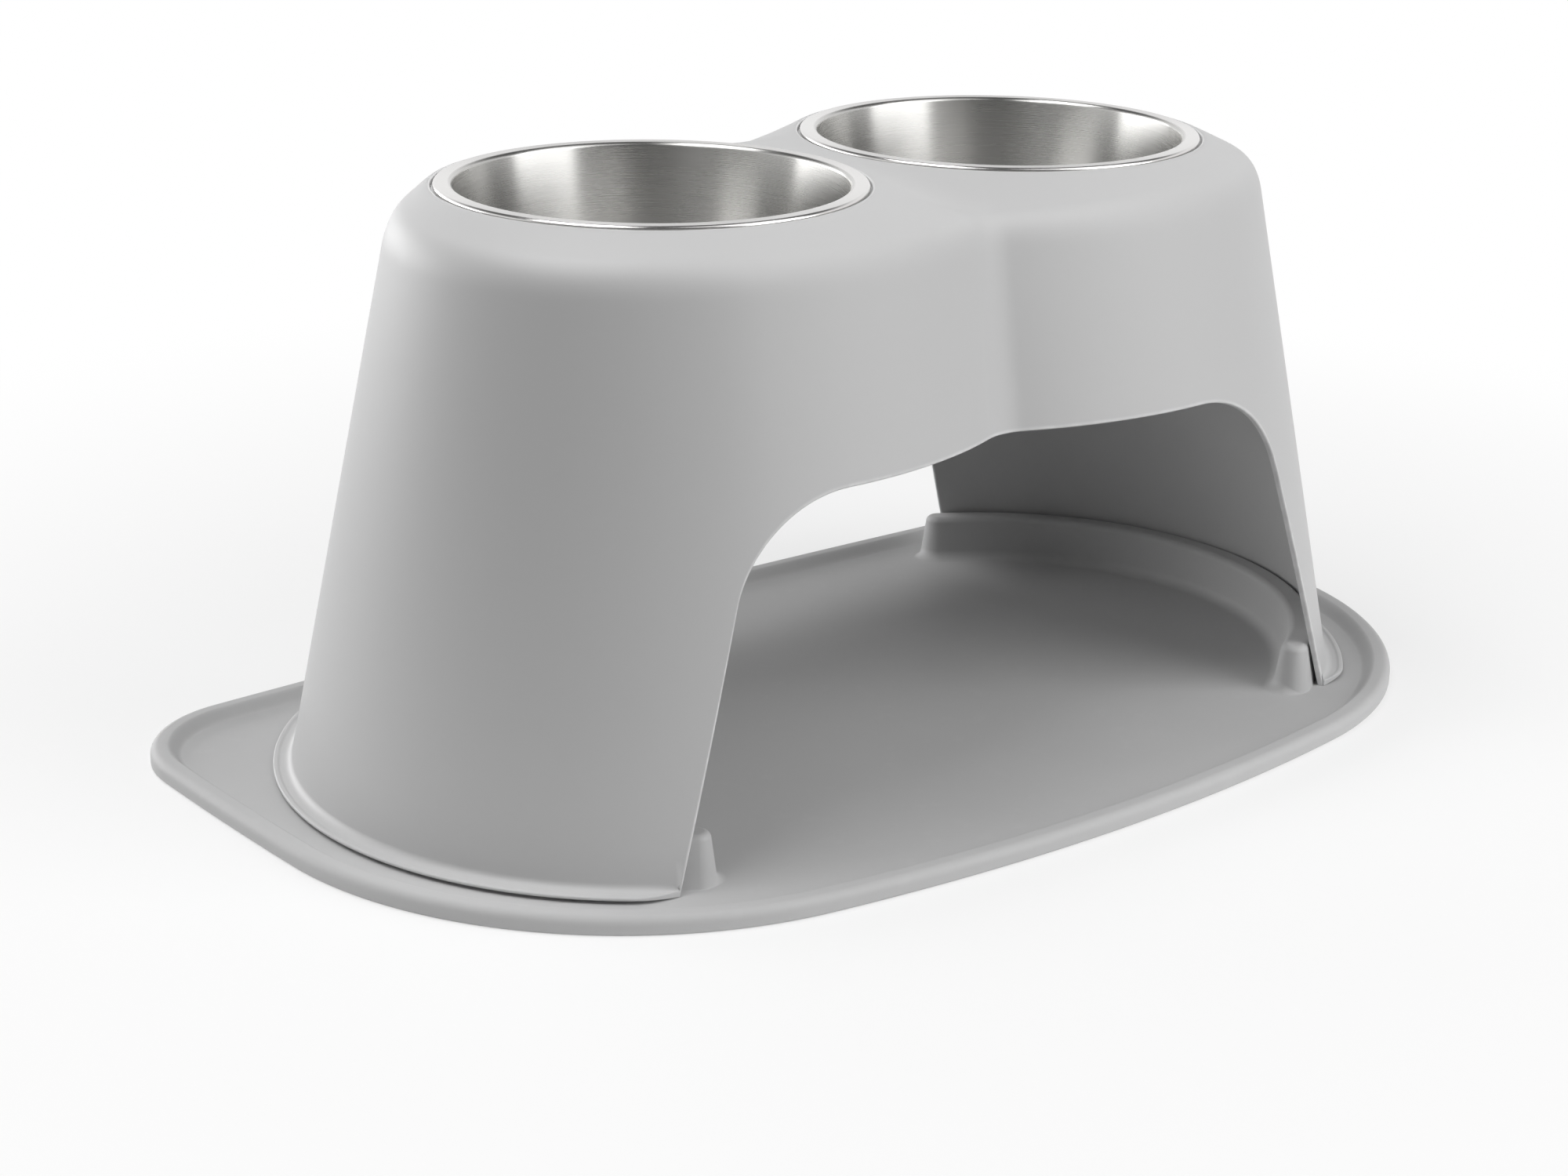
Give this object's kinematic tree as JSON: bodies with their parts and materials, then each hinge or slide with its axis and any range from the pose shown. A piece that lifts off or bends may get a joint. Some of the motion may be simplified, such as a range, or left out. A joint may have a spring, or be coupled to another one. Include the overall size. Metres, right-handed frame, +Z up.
{
  "type": "raised pet feeder",
  "caption": "Raised feeder for a large dog: steel bowls hang in a moulded stand with an arched front, on a low rimmed mat with curved locating ridges.",
  "frame": {"origin": "on the table, on the line through the centres of the stand's two towers, midway between them", "axes": "+X from the left bowl to the right bowl, +Y to the mat's nearly straight back edge, +Z up"},
  "size_m": [0.6486, 0.3826, 0.2815],
  "materials": {
    "mat_rubber": "satin moulded, light grey",
    "stand_plastic": "satin moulded, light grey",
    "bowl_steel": "brushed round the inside, polished rim"
  },
  "bodies": {
    "mat": {"mat": "mat_rubber"},
    "stand": {"stand": "stand_plastic"},
    "bowl_left": {"bowl_left": "bowl_steel"},
    "bowl_right": {"bowl_right": "bowl_steel"}
  },
  "joints": [
    {"name": "stand_lift", "type": "slide", "parent": "mat", "child": "stand", "axis": [0, 0, 1], "range_m": [0, 0.06]},
    {"name": "bowl_left_lift", "type": "slide", "parent": "stand", "child": "bowl_left", "axis": [0, 0, 1], "range_m": [0, 0.09]},
    {"name": "bowl_right_lift", "type": "slide", "parent": "stand", "child": "bowl_right", "axis": [0, 0, 1], "range_m": [0, 0.09]}
  ]
}
